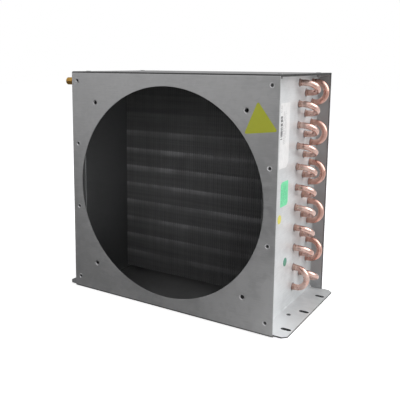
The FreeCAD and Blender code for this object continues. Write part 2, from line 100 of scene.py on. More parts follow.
def swept(path, binormal, radius, sides):
    """A circle carried along a flat path: P(t, a) = C(t) + r (cos a N + sin a B), where B is the
    path's own binormal and N = B x T. Both ends close to a pole."""
    ends = [0, *range(len(path)), len(path) - 1]
    tangent = np.gradient(path, axis=0)
    tangent /= np.linalg.norm(tangent, axis=1, keepdims=True)
    normal = np.cross(binormal, tangent)[ends]
    reach = np.full(len(ends), radius)
    reach[[0, -1]] = 0
    angle = np.linspace(0, 2 * np.pi, sides, endpoint=False)[:, None]
    ring = np.cos(angle) * normal[:, None] + np.sin(angle) * np.asarray(binormal)
    points = path[ends][:, None] + reach[:, None, None] * ring
    return points.reshape(-1, 3), grid_quads(len(ends), sides)


def turned(centre, axis, profile, sides=24, hexagon=None):
    """A profile of (along, radius) turned about an axis: P(t, a) = C + x(t) A + r(t) (cos a U +
    sin a V). Where hexagon gives a row a width across flats w, its radius is the lesser of r and
    w / (2 cos b), b being the angle from the middle of the nearest flat, as on a chamfered nut."""
    axis = np.asarray(axis, float)
    u = np.cross(axis, Z_AXIS if abs(axis[Z]) < 0.9 else Y_AXIS)
    u /= np.linalg.norm(u)
    v = np.cross(axis, u)
    along, radius = np.asarray(profile, float).T
    angle = np.linspace(0, 2 * np.pi, sides, endpoint=False)
    reach = np.repeat(radius[:, None], sides, 1)
    if hexagon is not None:
        from_flat = angle % (np.pi / 3) - np.pi / 6
        flats = np.asarray(hexagon, float)[:, None] / (2 * np.cos(from_flat))
        reach = np.where(flats > 0, np.minimum(reach, flats), reach)
    ring = np.cos(angle)[:, None] * u + np.sin(angle)[:, None] * v
    points = np.asarray(centre) + along[:, None, None] * axis + reach[..., None] * ring
    return points.reshape(-1, 3), grid_quads(len(along), sides)


def film(centre, across, up, outline, thickness):
    """A thin flat film: its outline O(t) is scaled about the middle from 0 to 1 over the front,
    carried back by the thickness and scaled down to 0 again behind."""
    outward = np.cross(across, up)
    scale = np.array([0, 0.5, 0.97, 1.0, 1.0, 0])
    lift = np.array([1, 1, 1, 0.7, 0, 0]) * thickness
    flat = outline[:, :1] * across + outline[:, 1:] * up
    points = centre + scale[::-1, None, None] * flat + lift[::-1, None, None] * outward
    return points.reshape(-1, 3), grid_quads(len(scale), len(outline))


def rounded_polygon(corners, radius, steps=6):
    """An anticlockwise outline whose corners are arcs. A corner's arc has a radius r of its own,
    and touches both sides r / tan(half the corner's angle) away from the corner."""
    before = np.roll(corners, 1, 0) - corners
    after = np.roll(corners, -1, 0) - corners
    before /= np.linalg.norm(before, axis=1, keepdims=True)
    after /= np.linalg.norm(after, axis=1, keepdims=True)
    half = np.arccos((before * after).sum(1)) / 2
    middle_way = before + after
    middle_way /= np.linalg.norm(middle_way, axis=1, keepdims=True)
    centre = corners + middle_way * (radius / np.sin(half))[:, None]
    turn = np.linspace(-1, 1, steps)[None, :] * (np.pi / 2 - half)[:, None]
    out, side = -middle_way[:, None], np.stack([middle_way[:, 1], -middle_way[:, 0]], 1)[:, None]
    arcs = np.cos(turn)[..., None] * out + np.sin(turn)[..., None] * side
    return (centre[:, None] + radius[:, None, None] * arcs).reshape(-1, 2)


# Pieces

GUARD_HOLE, GUARD_DISH = 2.1 * MM, 3.3 * MM
BROKEN_EDGE = 0.22 * MM
# Angles in degrees from which an edge is sharp, on made pieces and on sheets, or is bevelled
SHARP_PIECE, SHARP_SHEET, BEVELLED = 35, 30, 40


def shade(mesh, angle):
    mesh.shade_smooth()
    mesh.set_sharp_from_angle(angle=np.radians(angle))


def join(parts):
    """One array of points and one of quads from several surfaces."""
    starts = np.cumsum([0] + [len(points) for points, _ in parts[:-1]])
    return (np.concatenate([points for points, _ in parts]),
            np.concatenate([quads + start for (_, quads), start in zip(parts, starts)]))


def linked(name, mesh):
    piece = bpy.data.objects.new(name, mesh)
    bpy.context.scene.collection.objects.link(piece)
    return piece


def finish_piece(piece, material, body, replaced):
    """Gives a piece its material and body, and hides the nodes that it stands for."""
    piece.data.materials.clear()
    piece.data.materials.append(material)
    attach(piece, body)
    if replaced:
        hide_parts(*replaced)
    return piece


def new_piece(name, parts, material, replaced=(), body=ROOT):
    """A piece from surfaces, with its poles merged."""
    points, quads = join(parts)
    mesh = bpy.data.meshes.new(name)
    mesh.from_pydata(points.tolist(), [], quads.tolist())
    merged = bmesh.new()
    merged.from_mesh(mesh)
    bmesh.ops.remove_doubles(merged, verts=merged.verts, dist=1e-7)
    merged.to_mesh(mesh)
    merged.free()
    shade(mesh, SHARP_PIECE)
    return finish_piece(linked(name, mesh), material, body, replaced)


def sheet_metal(node, name, material, dished=(), flange_top=None):
    """A folded sheet: the node's own form with its cut edges broken by a small bevel. The front
    rim of each dished hole is widened to GUARD_DISH, and the rear flange's upper edge rises to
    flange_top, so that it closes under the roof."""
    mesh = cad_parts[node].data.copy()
    merged = bmesh.new()
    merged.from_mesh(mesh)
    bmesh.ops.remove_doubles(merged, verts=merged.verts, dist=1e-6)
    bmesh.ops.dissolve_limit(merged, angle_limit=np.radians(0.5), verts=merged.verts,
                             edges=merged.edges)
    merged.to_mesh(mesh)
    merged.free()
    places = np.empty(len(mesh.vertices) * 3)
    mesh.vertices.foreach_get("co", places)
    places = places.reshape(-1, 3)
    for x, z in dished:
        away = places[:, [X, Z]] - (x, z)
        reach = np.linalg.norm(away, axis=1)
        rim = (places[:, Y] < FRONT + 0.1 * MM) & (reach < GUARD_HOLE + 0.5 * MM)
        places[np.ix_(rim, [X, Z])] = (x, z) + away[rim] * (GUARD_DISH / reach[rim])[:, None]
    if flange_top:
        upper = (places[:, Y] > BACK - END_SHEET - 0.1 * MM) & (places[:, Z] > HEIGHT - 4 * MM)
        places[upper, Z] = flange_top
    mesh.vertices.foreach_set("co", places.ravel())
    shade(mesh, SHARP_SHEET)
    piece = linked(name, mesh)
    bevel = piece.modifiers.new("broken_edges", "BEVEL")
    bevel.width = BROKEN_EDGE
    bevel.segments = 2
    bevel.limit_method = "ANGLE"
    bevel.angle_limit = np.radians(BEVELLED)
    bevel.harden_normals = True
    return finish_piece(piece, material, ROOT, (node,))


# Materials

class Nodes:
    """A short way to write a material's nodes."""

    def __init__(self, name):
        self.material = bpy.data.materials.new(name)
        self.material.use_nodes = True
        self.tree = self.material.node_tree
        self.tree.nodes.clear()
        self.place = self.add("ShaderNodeTexCoord").outputs["Object"]

    def add(self, kind, inputs=None, **settings):
        node = self.tree.nodes.new(kind)
        for name, value in settings.items():
            setattr(node, name, value)
        for key, value in (inputs or {}).items():
            self.put(node.inputs[key], value)
        return node

    def put(self, socket, value):
        if isinstance(value, bpy.types.NodeSocket):
            self.tree.links.new(value, socket)
        else:
            socket.default_value = value

    def coordinates(self):
        """X, Y and Z of a point of the piece."""
        return self.add("ShaderNodeSeparateXYZ", {0: self.place}).outputs

    def stretched(self, scale):
        """Object coordinates stretched by a scale along each axis."""
        return self.add("ShaderNodeMapping", {"Vector": self.place, "Scale": scale}).outputs[0]

    def noise(self, scale, detail=3, rough=0.55, where=None):
        return self.add("ShaderNodeTexNoise", {
            "Vector": where or self.place, "Scale": scale, "Detail": detail,
            "Roughness": rough}).outputs["Fac"]

    def ramp(self, value, low, high, out_low=0.0, out_high=1.0, smooth=True):
        """Maps low..high to out_low..out_high, held at both ends."""
        node = self.add("ShaderNodeMapRange", {
            "Value": value, "From Min": low, "From Max": high, "To Min": out_low,
            "To Max": out_high}, interpolation_type="SMOOTHSTEP" if smooth else "LINEAR")
        return node.outputs["Result"]

    def between(self, value, low, high, soft=0.1 * MM):
        """1 from low to high, and 0 from a soft width outside."""
        return self.times(self.ramp(value, low - soft, low),
                          self.ramp(value, high, high + soft, 1, 0))

    def math(self, operation, one, two=0.0):
        return self.add("ShaderNodeMath", {0: one, 1: two}, operation=operation).outputs[0]

    def chain(self, operation, first, *others):
        """One operation over several values, from left to right."""
        for other in others:
            first = self.math(operation, first, other)
        return first

    def times(self, *values):
        return self.chain("MULTIPLY", *values)

    def plus(self, *values):
        return self.chain("ADD", *values)

    def mix(self, factor, one, two, blend="MIX"):
        node = self.add("ShaderNodeMix", data_type="RGBA", blend_type=blend)
        for key, value in ((0, factor), (6, one), (7, two)):
            if isinstance(value, tuple):
                value = (*value, 1.0)[:4]
            self.put(node.inputs[key], value)
        return node.outputs[2]

    def bump(self, height, strength):
        """Relief 0.1 mm deep."""
        return self.add("ShaderNodeBump", {
            "Height": height, "Strength": strength, "Distance": 0.1 * MM}).outputs[0]

    def surface(self, shader):
        self.add("ShaderNodeOutputMaterial", {"Surface": shader.outputs[0]})
        return self.material

    def finish(self, **sockets):
        """A Principled surface, whose sockets are named with underscores."""
        shader = self.add("ShaderNodeBsdfPrincipled")
        for name, value in sockets.items():
            if isinstance(value, tuple) and len(value) == 3:
                value = (*value, 1.0)
            self.put(shader.inputs[name.replace("_", " ")], value)
        return self.surface(shader)


def galvanised(name, steel, shadow, metallic, zones, inside, dust_and_shade):
    """Zinc-coated sheet: faint spangle, rolling streaks, cloudy smudges and fine grain. A zone has
    its lowest and highest place on some axes, perhaps with how softly it ends, and its tone as a
    share of the clean sheet's; most zones are painted shade or painted light. A zone on positive X
    lies on both sides. Inside a half width, between a front and a back, the sheet is mixed towards
    near black as painted shade inside the box."""
    n = Nodes(name)
    cells = n.add("ShaderNodeTexVoronoi", {"Vector": n.place, "Scale": 170.0,
                                           "Randomness": 1.0}, feature="F1")
    spangle = n.add("ShaderNodeSeparateColor", {0: cells.outputs["Color"]}).outputs[0]
    streak = n.noise(1.0, 4, 0.6, n.stretched((60, 60, 900)))
    cloud = n.noise(9.0, 4, 0.6)
    grain = n.noise(1500.0, 2, 0.5)
    tone = n.plus(n.ramp(cloud, 0.3, 0.7, -0.5, 0.5), n.ramp(spangle, 0, 1, -0.22, 0.22),
                  n.ramp(streak, 0.3, 0.7, -0.25, 0.25))
    colour = n.mix(n.ramp(tone, -0.7, 0.7), shadow, steel)
    places = n.coordinates()
    off_middle = n.math("ABSOLUTE", places[X])
    for zone, share in zones:
        spans = [n.between(off_middle if axis == X and span[0] > 0 else places[axis], *span)
                 for axis, span in zone.items()]
        colour = n.mix(n.times(*spans), colour, tuple(share * c for c in steel))
    # Painted shade for the inside of the box: the sheet is mixed towards near black there
    half, front, back = inside
    within = n.times(n.ramp(off_middle, half - 0.2 * MM, half, 1, 0),
                     n.ramp(places[Y], front - 0.1 * MM, front, 0, 1),
                     n.ramp(places[Y], back, back + 10 * MM, 1, 0))
    colour = n.mix(n.times(within, dust_and_shade), colour, (0.05, 0.05, 0.052))
    rough = n.plus(n.ramp(spangle, 0, 1, 0.36, 0.44), n.ramp(cloud, 0.3, 0.7, -0.03, 0.05))
    return n.finish(Base_Color=colour, Metallic=metallic, Roughness=rough,
                    Normal=n.bump(n.plus(grain, streak), 0.12))


def drawn_copper(name):
    """Drawn copper tube: pinkish, cloudy with handling, redder and darker in the rear row as
    painted shade and painted reflection of the other copper, and dark with heat where it is brazed."""
    n = Nodes(name)
    x, y, _ = n.coordinates()
    cloud = n.noise(55.0, 4, 0.6)
    fine = n.noise(420.0, 3, 0.6)
    wander = n.times(n.math("SUBTRACT", fine, 0.5), 3 * MM)
    heat = n.ramp(n.plus(n.math("ABSOLUTE", x), wander), WEB_OUT + 0.5 * MM, WEB_OUT + 4 * MM,
                  1.0, 0.0)
    drawn = n.noise(1.0, 3, 0.6, n.stretched((40, 900, 900)))
    tone = n.plus(n.ramp(cloud, 0.35, 0.65, 0, 0.6), n.ramp(drawn, 0.35, 0.65, 0, 0.4))
    clean = n.mix(tone, (0.55, 0.325, 0.27), (0.76, 0.575, 0.515))
    # Painted shade and painted reflection of the other copper: the rear row redder and darker
    rear = n.ramp(y, 50 * MM, 60 * MM)
    clean = n.mix(n.times(rear, 0.55), clean, (0.54, 0.27, 0.21))
    colour = n.mix(n.times(heat, 0.25), clean, (0.20, 0.09, 0.065))
    rough = n.plus(n.ramp(cloud, 0.3, 0.7, 0.22, 0.33), n.ramp(heat, 0, 1, 0.0, 0.16))
    return n.finish(Base_Color=colour, Metallic=1.0, Roughness=rough, Normal=n.bump(fine, 0.15))


def foil(name):
    """Fin foil: dull, with painted shade at its front edges and near the roof, and painted light in
    bands at about the tubes' pitch, with each fin and each level a little different."""
    n = Nodes(name)
    x, y, z = n.coordinates()
    band_top, band_pitch, front = 277 * MM, 24.5 * MM, fins_low[Y]
    below = n.math("FRACT", n.math("DIVIDE", n.math("SUBTRACT", band_top, z), band_pitch))
    # Painted light: lighter bands at the tube rows, fading upwards, downwards and to the right
    painted_light_band = n.times(n.ramp(below, 0.0, 0.07), n.ramp(below, 0.05, 0.45, 1.0, 0.0),
                   n.ramp(z, 175 * MM, 238 * MM, 1.0, 0.15), n.ramp(z, 30 * MM, 80 * MM, 0.7, 1.0),
                   n.ramp(x, -60 * MM, 110 * MM, 1.0, 0.6))
    dust_and_shade = n.noise(26.0, 4, 0.6)
    each_fin = n.noise(1.0, 1, 0.5, n.stretched((330, 0, 9)))
    each_level = n.noise(1.0, 2, 0.5, n.stretched((6, 0, 330)))
    light = n.plus(n.times(painted_light_band, n.ramp(dust_and_shade, 0.35, 0.65, 0.45, 1.0)),
                   n.ramp(each_level, 0.35, 0.7, 0.0, 0.20))
    # Painted shade: darker at the fins' front edges and near the roof, each fin a little different
    tone = n.times(n.ramp(y, front + 0.3 * MM, front + 3.6 * MM, 0.95, 1.35, False),
                   n.ramp(each_fin, 0.3, 0.7, 0.94, 1.06),
                   n.ramp(z, 185 * MM, 245 * MM, 1.0, 0.72))
    colour = n.mix(light, (0.30, 0.30, 0.305), (0.62, 0.62, 0.63))
    grey = n.add("ShaderNodeCombineColor", {0: tone, 1: tone, 2: tone}).outputs[0]
    return n.finish(Base_Color=n.mix(1.0, colour, grey, "MULTIPLY"), Metallic=0.6,
                    Roughness=n.ramp(dust_and_shade, 0.3, 0.7, 0.42, 0.55))


def mottled(name, light, dark, metallic, rough):
    """A small piece's surface, mottled between two tones."""
    n = Nodes(name)
    mottle = n.noise(300.0, 3, 0.6)
    return n.finish(Base_Color=n.mix(n.ramp(mottle, 0.35, 0.65), dark, light), Metallic=metallic,
                    Roughness=n.ramp(mottle, 0.3, 0.7, rough - 0.05, rough + 0.07),
                    Normal=n.bump(mottle, 0.1))


def turned_brass(name):
    """Brass turned about X: fine tool rings, and a little tarnish in wide soft clouds."""
    n = Nodes(name)
    rings = n.noise(1.0, 2, 0.5, n.stretched((2600, 30, 30)))
    tarnish = n.noise(110.0, 2, 0.5)
    tone = n.plus(n.ramp(rings, 0.35, 0.65, 0, 0.35), n.ramp(tarnish, 0.3, 0.7, 0, 0.65))
    return n.finish(Base_Color=n.mix(tone, (0.52, 0.29, 0.07), (0.66, 0.39, 0.10)), Metallic=1.0,
                    Roughness=n.ramp(tarnish, 0.3, 0.7, 0.25, 0.32), Normal=n.bump(rings, 0.04))


def rivet_metal(name, light, dark):
    """Zinc on the rivets' heads, near black with painted shade where the head dips below the
    sheet's face, and darker with painted shade on the roof rivets and on the tails behind the
    panel."""
    n = Nodes(name)
    _, y, z = n.coordinates()
    mottle = n.noise(300.0, 3, 0.6)
    colour = n.mix(n.ramp(mottle, 0.35, 0.65), dark, light)
    # Painted shade in the hollow of each head
    painted_hollow_shade = n.times(n.ramp(y, FRONT + 0.1 * MM, FRONT + 0.3 * MM),
                   n.ramp(y, FRONT + 2.0 * MM, FRONT + 2.1 * MM, 1, 0))
    colour = n.mix(n.times(painted_hollow_shade, 0.85), colour, (0.03, 0.03, 0.032))
    # Painted shade on the roof rivets and on the tails behind the panel
    painted_tail_shade = n.math("MAXIMUM", n.ramp(y, FRONT + 1.0 * MM, FRONT + 1.3 * MM, 0, 0.6),
                  n.ramp(z, HEIGHT - 5.5 * MM, HEIGHT - 5.2 * MM, 0, 0.6))
    colour = n.mix(painted_tail_shade, colour, (0.12, 0.12, 0.122))
    return n.finish(Base_Color=colour, Metallic=0.9, Roughness=n.ramp(mottle, 0.3, 0.7, 0.32, 0.44),
                    Normal=n.bump(mottle, 0.1))


def printed_film(name, paper, mark, lines=(), bars=None):
    """Label film with a faint mottle and generic marks. A line of dashes is a place on Y, a half
    width, how much it shows, and its lowest and highest Z. Bars of chance widths may lie across a
    strip, given by its lowest and highest Y and Z."""
    n = Nodes(name)
    _, y, z = n.coordinates()
    mottle = n.noise(160.0, 3, 0.6)
    colour = n.mix(n.ramp(mottle, 0.3, 0.7, 0.0, 0.10), paper, mark)
    dashes = n.ramp(n.noise(1.0, 2, 0.6, n.stretched((0, 400, 800))), 0.42, 0.50)
    for place, half, amount, low, high in lines:
        line = n.times(n.between(y, place - half, place + half), n.between(z, low, high))
        colour = n.mix(n.times(line, dashes, amount), colour, mark)
    if bars:
        left, right, low, high = bars
        strip = n.times(n.ramp(n.noise(1.0, 1, 0.5, n.stretched((0, 0, 420))), 0.46, 0.49),
                        n.between(y, left, right), n.between(z, low, high))
        colour = n.mix(n.times(strip, 0.9), colour, mark)
    return n.finish(Base_Color=colour, Roughness=0.38, Normal=n.bump(mottle, 0.05))


# Zones of the sheets with a tone set apart: mostly painted shade, one painted light, and darker cut
# edges
# Painted shade along the casing's top edges, at the fold over the panel and the roof's sides
ROOF_EDGE_SHADE = {Z: (HEIGHT - 1.6 * MM, HEIGHT - 0.12 * MM)}
# Painted shade along the casing's bottom edge
UNDERSIDE_SHADE = {Z: (-MM, 1.0 * MM)}
# Painted shade along the foot of the panel's face
PANEL_FOOT_SHADE = {Z: (-MM, 2.1 * MM, 0.5 * MM), Y: (FRONT - MM, FRONT + 0.6 * MM)}
# Painted light: the lower front corner of each tube sheet lighter, for the white floor's bright
# reflection
PAINTED_LIGHT_CORNER = {X: (WEB_OUT - MM, FOOT_OUT + 0.3 * MM), Y: (FRONT, -70 * MM, 60 * MM),
               Z: (0, 15 * MM, 70 * MM)}
# Painted shadow of the roof on the top of each tube sheet
TOP_FLANGE_SHADE = {Z: (HEIGHT - 3.2 * MM, HEIGHT)}
# Painted shade on the front flange behind the panel
FRONT_FLANGE_SHADE = {Y: (PANEL_BACK - 0.1 * MM, PANEL_BACK + END_SHEET + 0.2 * MM)}
# Painted shade on the rear flange, whose face towards the front gets no key light
REAR_FLANGE = {Y: (BACK - 2 * MM, BACK + MM)}
FLANGE_EDGE = (HALF_WIDTH - 1.4 * MM, HALF_WIDTH)
# Near black at the top flange's edge: the cut edge's darker tone and painted shadow under the
# roof's edge
TOP_FLANGE_EDGE = {X: FLANGE_EDGE, Z: (HEIGHT - 3 * MM, HEIGHT)}
REAR_FLANGE_EDGE = {X: FLANGE_EDGE, **REAR_FLANGE}
# The foot's cut edges and faces: the cut steel's darker tone, deepened near black by painted shade
FOOT_EDGE = {X: (FOOT_OUT - 0.3 * MM, FOOT_OUT + 0.3 * MM)}
FOOT_CUT = {Z: (FLOOR_TOP + 0.15 * MM, FOOT_TOP - 0.2 * MM)}
# Painted shade on the left foot's front end
LEFT_FOOT_SHADE = {X: (-160 * MM, -143 * MM, 2 * MM), Y: (FRONT, -72 * MM, 35 * MM),
                 Z: (0, 4 * MM)}
# Painted shade inside the box, from the back of the panel to the middle of the coil
BOX_SHADE_FRONT, BOX_SHADE_BACK = PANEL_BACK - 0.1 * MM, 60 * MM

casing_steel = galvanised(
    "galvanised_casing", (0.50, 0.50, 0.505), (0.42, 0.42, 0.425), 0.75,
    [(ROOF_EDGE_SHADE, 0.07), (UNDERSIDE_SHADE, 0.3), (PANEL_FOOT_SHADE, 0.25)],
    (HALF_WIDTH, BOX_SHADE_FRONT, BOX_SHADE_BACK), 0.30)
sheet_steel = galvanised(
    "galvanised_tube_sheet", (0.66, 0.675, 0.685), (0.555, 0.57, 0.58), 0.35,
    [(PAINTED_LIGHT_CORNER, 1.2), (TOP_FLANGE_SHADE, 0.55), (REAR_FLANGE, 0.60), (TOP_FLANGE_EDGE, 0.03),
     (REAR_FLANGE_EDGE, 0.30), (FOOT_EDGE, 0.15), (FOOT_CUT, 0.05), (FRONT_FLANGE_SHADE, 0.10),
     (LEFT_FOOT_SHADE, 0.30)],
    (WEB_OUT - 1.3 * MM, BOX_SHADE_FRONT, BOX_SHADE_BACK), 0.80)
copper = drawn_copper("drawn_copper")
fin_foil = foil("fin_foil")
brass = turned_brass("turned_brass")
braze = mottled("brazing_alloy", (0.60, 0.41, 0.33), (0.40, 0.23, 0.18), 0.9, 0.40)
rivet_steel = rivet_metal("zinc_plated_rivet", (0.66, 0.66, 0.67), (0.48, 0.48, 0.49))
# The collars are darker than the sheet, as painted shade in the gap round each tube's root
shaded_collar_steel = mottled("shaded_drawn_collar", (0.34, 0.34, 0.345), (0.20, 0.20, 0.205), 0.7, 0.45)
# The base rivets are near black all over
dark_rivet = mottled("dark_base_rivet", (0.16, 0.16, 0.165), (0.07, 0.07, 0.072), 0.7, 0.45)
rubber = mottled("seal_rubber", (0.035, 0.035, 0.035), (0.02, 0.02, 0.02), 0.0, 0.6)

# Casing and tube sheets

GUARD_REACH = 103.7 * MM
GUARD_HOLES = [(x, HEIGHT / 2 + z) for x in (-GUARD_REACH, GUARD_REACH)
               for z in (-GUARD_REACH, GUARD_REACH)]
sheet_metal("fan_shroud", "casing", casing_steel, GUARD_HOLES)
sheet_metal("left_tube_sheet", "left_end_sheet", sheet_steel, flange_top=UNDER_ROOF)
sheet_metal("right_tube_sheet", "right_end_sheet", sheet_steel, flange_top=UNDER_ROOF)


def tube_place(row, number):
    """Centre of a tube, counted down from the top one. The middle row sits half a pitch lower."""
    drop = (number - 1) * TUBE_PITCH + (TUBE_PITCH / 2 if row == 1 else 0)
    return np.array([0, ROW_Y[row], TOP_TUBE - drop])


ALL_TUBES = [tube_place(row, n) for row in (0, 1, 2)
             for n in range(1, TUBE_COUNT + (0 if row == 1 else 1))]
TUBE_COLLAR = np.array([(-0.3, 5.1), (0.01, 5.0), (0.10, 4.8), (0.22, 4.6), (0.25, 4.45),
                        (0.15, 4.30), (-0.1, 4.12), (-0.3, 4.12)]) * MM


def hole_collars(side):
    """The lip that is drawn out of the tube sheet round each tube: a profile turned about it."""
    return [turned(place + side * WEB_OUT * X_AXIS, side * X_AXIS, TUBE_COLLAR)
            for place in ALL_TUBES]


new_piece("left_tube_collars", hole_collars(-1), shaded_collar_steel)
new_piece("right_tube_collars", hole_collars(1), shaded_collar_steel)

# The guard's holes are drawn inwards, each into a lip behind the panel that takes a screw
GUARD_LIP = np.array([(-1.15, 3.3), (-1.5, 2.8), (-2.9, 2.65), (-3.1, 2.4), (-2.9, 2.16),
                      (-1.15, 2.12)]) * MM
new_piece("guard_hole_lips", [turned((x, FRONT, z), -Y_AXIS, GUARD_LIP) for x, z in GUARD_HOLES],
          casing_steel)


# Coil

RETURN_BEND_RADIUS = 3.62 * MM


def bend_path(one, other, start, side):
    """Half circle on the line between two tubes, C(t) = middle + r cos t A + (start + leg +
    r sin t) X, with the binormal of its plane. The straight legs come before and after it."""
    arm = (one - other) / 2
    radius = np.linalg.norm(arm)
    turn = np.linspace(0, np.pi, 33)[:, None]
    reach = start + BEND_LEG + radius * np.sin(turn)
    arc = (one + other) / 2 + np.cos(turn) * arm + reach * side * X_AXIS
    return arc, np.cross(arm / radius, X_AXIS)


def return_bend(one, other):
    """A half circle between two tubes on the right, its legs inside their belled ends."""
    arc, binormal = bend_path(one, other, TUBE_END, 1)
    legs = [place + (TUBE_END + 0.1 * MM) * X_AXIS for place in (one, other)]
    path = np.concatenate([[legs[0]], arc, [legs[1]]])
    return swept(path, binormal, RETURN_BEND_RADIUS, 24)


def hairpin(one, other):
    """Two tubes that a half circle joins on the left, carried through to the right."""
    arc, binormal = bend_path(one, other, WEB_OUT, -1)
    ends = [place + (TUBE_END - 0.3 * MM) * X_AXIS for place in (one, other)]
    path = np.concatenate([[ends[0]], arc, [ends[1]]])
    return swept(path, binormal, TUBE_RADIUS, 20)


# A tube's right end is a cup round the leg of its bend, and a fillet of alloy closes it
BELL = np.array([(-1.0, 0), (-1.0, 3.9), (0, 3.9), (0.6, 3.82), (2.2, 3.76), (2.4, 3.74),
                 (2.5, 3.68), (2.4, 3.5), (2.3, 0)]) * MM
FILLET = np.array([(2.3, 3.5), (2.4, 3.72), (2.7, 3.71), (3.1, 3.68), (3.6, 3.64),
                   (3.8, 3.55)]) * MM


def on_right_end(place, profile):
    """A profile turned about a tube, from the right tube sheet's face outwards."""
    return turned(place + WEB_OUT * X_AXIS, X_AXIS, profile)


def hairpins(name, node, pairs):
    bells = [on_right_end(place, BELL) for pair in pairs for place in pair]
    new_piece(name, [hairpin(*pair) for pair in pairs] + bells, copper, (node,))


def bends(name, node, pairs):
    new_piece(name, [return_bend(*pair) for pair in pairs], copper, (node,))


hairpins("front_hairpin_tubes", "front_hairpins",
         [(tube_place(0, n + 1), tube_place(1, n)) for n in range(1, TUBE_COUNT)])
hairpins("rear_hairpin_tubes", "rear_hairpins",
         [(tube_place(2, n), tube_place(2, n + 1)) for n in range(2, TUBE_COUNT, 2)])
bends("front_return_bends", "front_bends",
      [(tube_place(0, n), tube_place(1, n)) for n in range(1, TUBE_COUNT - 1)])
bends("rear_return_bends", "rear_bends",
      [(tube_place(2, n), tube_place(2, n + 1)) for n in range(1, TUBE_COUNT - 1, 2)])
bends("lowest_return_bend", "lowest_front_bend",
      [(tube_place(0, TUBE_COUNT - 1), tube_place(0, TUBE_COUNT))])
bends("crossover_return_bend", "crossover_bend",
      [(tube_place(1, TUBE_COUNT - 1), tube_place(2, TUBE_COUNT))])
new_piece("braze_fillets", [on_right_end(place, FILLET) for place in ALL_TUBES], braze)


def cornered(corners, radius, steps=14):
    """Straight runs through the corners, each corner rounded by the arc that touches both runs,
    P(t) = C + cos t A + sin t B, where A and B are at right angles."""
    path = [corners[0]]
    for before, here, after in zip(corners, corners[1:], corners[2:]):
        back, ahead = before - here, after - here
        back, ahead = back / np.linalg.norm(back), ahead / np.linalg.norm(ahead)
        half = np.arccos(back @ ahead) / 2
        centre = here + (back + ahead) / np.linalg.norm(back + ahead) * radius / np.sin(half)
        one = here + back * radius / np.tan(half) - centre
        other = here + ahead * radius / np.tan(half) - centre
        turn = np.linspace(0, 1, steps)[:, None] * (np.pi - 2 * half)
        sideways = (other - one * np.cos(turn[-1])) / np.sin(turn[-1])
        path.extend(centre + np.cos(turn) * one + np.sin(turn) * sideways)
    return np.array(path + [corners[-1]])


UNION_SOCKET = 5 * MM
inlet = tube_place(2, 1)
inlet_end = right_end("inlet_union") - UNION_SOCKET * X_AXIS
inlet_path = np.array([inlet + (TUBE_END - 0.3 * MM) * X_AXIS, inlet, inlet_end])
new_piece("inlet_pipe", [swept(inlet_path, Z_AXIS, TUBE_RADIUS, 24), on_right_end(inlet, BELL)],
          copper, ("inlet_tube",))

# The outlet tube turns forward beside the tube sheet, drops a little and turns left again
STUB_REACH, STUB_BEND = 12.5 * MM, 9 * MM
outlet = tube_place(0, 1)
first_turn = outlet - (WEB_OUT + STUB_REACH) * X_AXIS
outlet_end = right_end("outlet_union") - UNION_SOCKET * X_AXIS
second_turn = np.array([first_turn[X], outlet_end[Y], outlet_end[Z]])
outlet_path = cornered([outlet + (TUBE_END - 0.3 * MM) * X_AXIS, first_turn, second_turn,
                        outlet_end], STUB_BEND)
run = (second_turn - first_turn) / np.linalg.norm(second_turn - first_turn)
new_piece("outlet_pipe", [swept(outlet_path, np.cross(X_AXIS, run), TUBE_RADIUS, 24),
                          on_right_end(outlet, BELL)], copper, ("outlet_tube",))


# Fins

def corrugated_fins():
    """Each fin is x = x0 + a sin(2 pi y / w), faded out towards its two edges, with a wall on each
    side, carried straight up."""
    wave_depth, wave_length, flat_edge = 0.75 * MM, 11 * MM, 3 * MM
    front, back = fins_low[Y], fins_high[Y]
    y = np.linspace(front, back, 61)
    wave = wave_depth * np.sin(2 * np.pi * (y - front) / wave_length)
    wave *= np.clip(np.minimum(y - front, back - y) / flat_edge, 0, 1)
    loop = np.stack([np.concatenate([wave + FIN_HALF, (wave - FIN_HALF)[::-1]]),
                     np.concatenate([y, y[::-1]])], 1)
    count = len(y)
    face = np.arange(count - 1)
    lid = np.stack([face, face + 1, 2 * count - 2 - face, 2 * count - 1 - face], 1)
    walls = grid_quads(2, 2 * count)
    quads = np.concatenate([walls, lid[:, ::-1], lid + 2 * count])
    fins = []
    for x in FIN_PLACES:
        levels = [np.column_stack([loop[:, 0] + x, loop[:, 1], np.full(2 * count, z)])
                  for z in (fins_low[Z], fins_high[Z])]
        fins.append((np.concatenate(levels), quads))
    return fins


def fin_collars(place):
    """The collars of the fins on a tube, turned about it, one flared root behind the next."""
    along = np.stack([FIN_PLACES + 0.1 * MM, FIN_PLACES + 0.7 * MM, FIN_PLACES + 2.9 * MM], 1)
    along = along.ravel()[:-2]
    radius = np.tile([4.95 * MM, 4.35 * MM, 4.3 * MM], FIN_COUNT)[:-2]
    along = np.concatenate([[FIN_PLACES[0] - 0.1 * MM], along, [along[-1] + 0.1 * MM]])
    radius = np.concatenate([[0], radius, [0]])
    return turned(place, X_AXIS, np.stack([along, radius], 1), 10)


new_piece("foil_fins", corrugated_fins(), fin_foil, ("fin_pack",))
new_piece("fin_collars", [fin_collars(place) for place in ALL_TUBES], fin_foil)

# Rivets, each profile from its tail to its dished head

